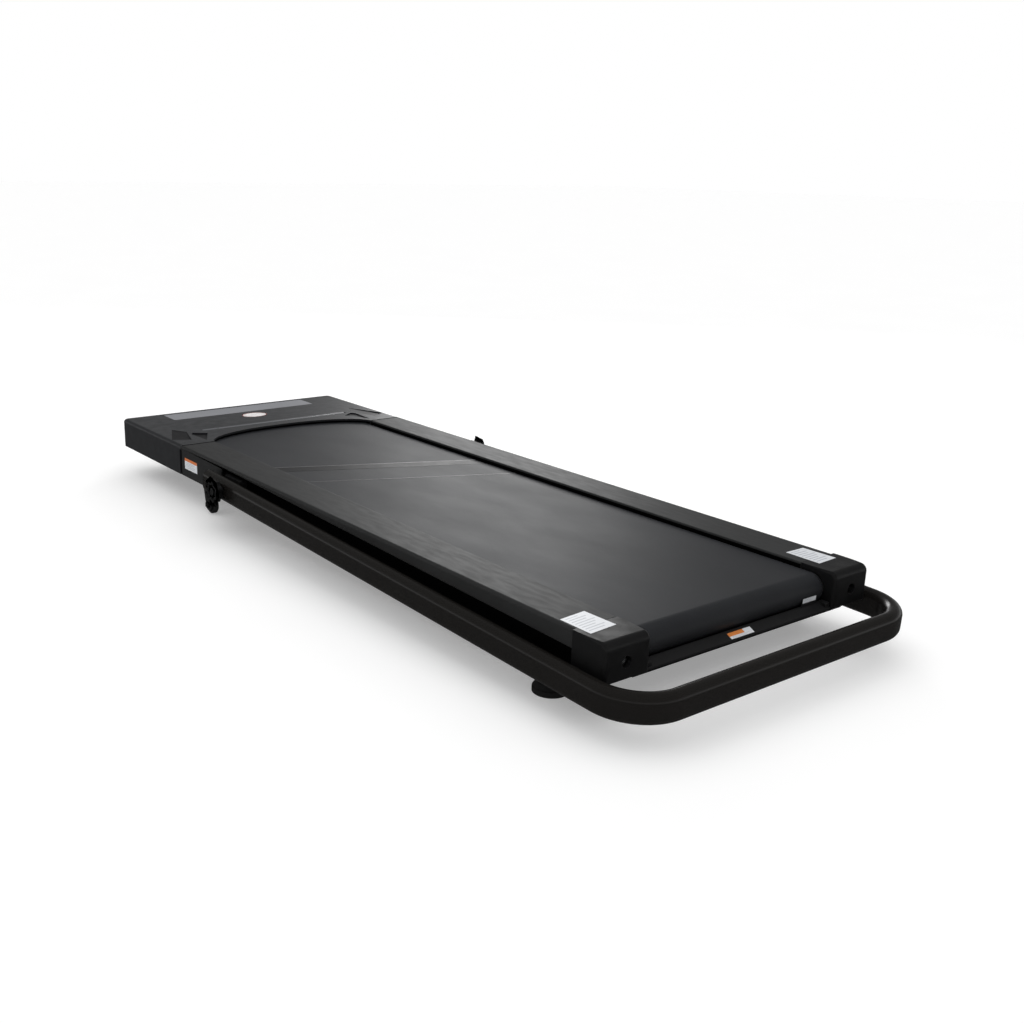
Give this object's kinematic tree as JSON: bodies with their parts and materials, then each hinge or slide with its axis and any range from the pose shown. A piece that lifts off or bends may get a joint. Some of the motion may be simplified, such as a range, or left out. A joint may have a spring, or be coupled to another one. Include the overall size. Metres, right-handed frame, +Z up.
{
  "type": "treadmill",
  "caption": "Low flat walking treadmill with a motor hood at the front, foot rails beside a wide belt, and a U-shaped handrail folded down around the deck.",
  "frame": {"origin": "on the floor, midway across and midway along the machine with its handrail folded", "axes": "+X to the walker's right, +Y towards the motor hood, +Z up"},
  "size_m": [0.625, 1.5924, 0.116],
  "materials": {
    "hood_shell": "satin black moulded plastic",
    "cap_shell": "fine-textured black moulded plastic",
    "rail_plastic": "satin dark grey extruded plastic with a fine grain",
    "window_acrylic": "smoked glossy acrylic",
    "badge_metal": "plain brushed oval plate",
    "circuit": "green circuit board",
    "frame_paint": "black powder coat",
    "tube_paint": "black semi-gloss powder coat",
    "belt_weave": "dark grey belt with a fine woven grain",
    "foot_rubber": "matt black rubber",
    "wheel_tyre": "matt black hard rubber",
    "deck_wood": "coated fibreboard",
    "bare_steel": "turned steel",
    "zinc_steel": "bright zinc plate",
    "motor_paint": "black enamel",
    "knob_plastic": "black moulded nylon",
    "button_red": "red glossy plastic"
  },
  "bodies": {
    "root": {"hood_cover": "hood_shell", "power_inlet": "hood_shell", "breaker_housing": "hood_shell", "motor_pan": "hood_shell", "end_cap_left": "cap_shell", "end_cap_right": "cap_shell", "foot_rail_left": "rail_plastic", "foot_rail_right": "rail_plastic", "display_window": "window_acrylic", "badge_plate": "badge_metal", "display_board": "circuit", "side_member_left": "frame_paint", "side_member_right": "frame_paint", "wheel_bracket_left": "frame_paint", "wheel_bracket_right": "frame_paint", "pivot_bracket_left": "frame_paint", "pivot_bracket_right": "frame_paint", "deck_beam_rear": "frame_paint", "deck_beam_middle": "frame_paint", "deck_beam_front": "frame_paint", "front_cross_member": "frame_paint", "rear_cross_member": "frame_paint", "motor_bracket": "frame_paint", "running_belt": "belt_weave", "rear_foot_left": "foot_rubber", "rear_foot_right": "foot_rubber", "deck_cushion_rear": "foot_rubber", "deck_cushion_middle": "foot_rubber", "deck_cushion_front": "foot_rubber", "drive_belt": "foot_rubber", "deck_board": "deck_wood", "motor_controller": "bare_steel", "rear_axle": "zinc_steel", "front_axle": "zinc_steel", "tension_bolt_left": "zinc_steel", "tension_bolt_right": "zinc_steel", "wheel_axle_left": "zinc_steel", "wheel_axle_right": "zinc_steel", "motor_can": "motor_paint"},
    "handrail": {"handrail_tube": "tube_paint", "pivot_bush_left": "zinc_steel", "pivot_bush_right": "zinc_steel", "leg_end_plug_left": "cap_shell", "leg_end_plug_right": "cap_shell"},
    "knob_left": {"clamp_knob_left": "knob_plastic"},
    "knob_right": {"clamp_knob_right": "knob_plastic"},
    "front_roller": {"front_roller": "bare_steel", "roller_pulley": "zinc_steel", "front_bearing_left": "zinc_steel", "front_bearing_right": "zinc_steel"},
    "rear_roller": {"rear_roller": "bare_steel", "rear_bearing_left": "zinc_steel", "rear_bearing_right": "zinc_steel"},
    "motor_rotor": {"motor_rotor": "bare_steel", "motor_pulley": "zinc_steel", "motor_flywheel": "bare_steel"},
    "wheel_left": {"transport_wheel_left": "wheel_tyre"},
    "wheel_right": {"transport_wheel_right": "wheel_tyre"},
    "rocker": {"rocker_switch": "button_red"},
    "breaker_button": {"breaker_button": "button_red"}
  },
  "joints": [
    {"name": "handrail_fold", "type": "hinge", "parent": "root", "child": "handrail", "pos_m": [0, 0.25916, 0.082], "axis": [-1, 0, 0], "range_deg": [0, 91.65]},
    {"name": "knob_left_turn", "type": "hinge", "parent": "root", "child": "knob_left", "pos_m": [0, 0.25916, 0.082], "axis": [1, 0, 0], "continuous": true},
    {"name": "knob_right_turn", "type": "hinge", "parent": "root", "child": "knob_right", "pos_m": [0, 0.25916, 0.082], "axis": [1, 0, 0], "continuous": true},
    {"name": "front_roller_spin", "type": "hinge", "parent": "root", "child": "front_roller", "pos_m": [0, 0.59616, 0.085], "axis": [1, 0, 0], "continuous": true},
    {"name": "rear_roller_spin", "type": "hinge", "parent": "root", "child": "rear_roller", "pos_m": [0, -0.67384, 0.085], "axis": [1, 0, 0], "continuous": true},
    {"name": "motor_spin", "type": "hinge", "parent": "root", "child": "motor_rotor", "pos_m": [0, 0.68616, 0.084], "axis": [1, 0, 0], "continuous": true},
    {"name": "wheel_left_roll", "type": "hinge", "parent": "root", "child": "wheel_left", "pos_m": [0, 0.38616, 0.018], "axis": [1, 0, 0], "continuous": true},
    {"name": "wheel_right_roll", "type": "hinge", "parent": "root", "child": "wheel_right", "pos_m": [0, 0.38616, 0.018], "axis": [1, 0, 0], "continuous": true},
    {"name": "rocker_tilt", "type": "hinge", "parent": "root", "child": "rocker", "pos_m": [0, 0.78716, 0.09], "axis": [1, 0, 0], "range_deg": [-8, 8]},
    {"name": "breaker_push", "type": "slide", "parent": "root", "child": "breaker_button", "axis": [0, -1, 0], "range_m": [0, 0.003], "stiffness_N_per_m": 400}
  ],
  "couplings": [
    {"joint": "rear_roller_spin", "follows": "front_roller_spin", "ratio": 1},
    {"joint": "motor_spin", "follows": "front_roller_spin", "ratio": 2.35}
  ]
}
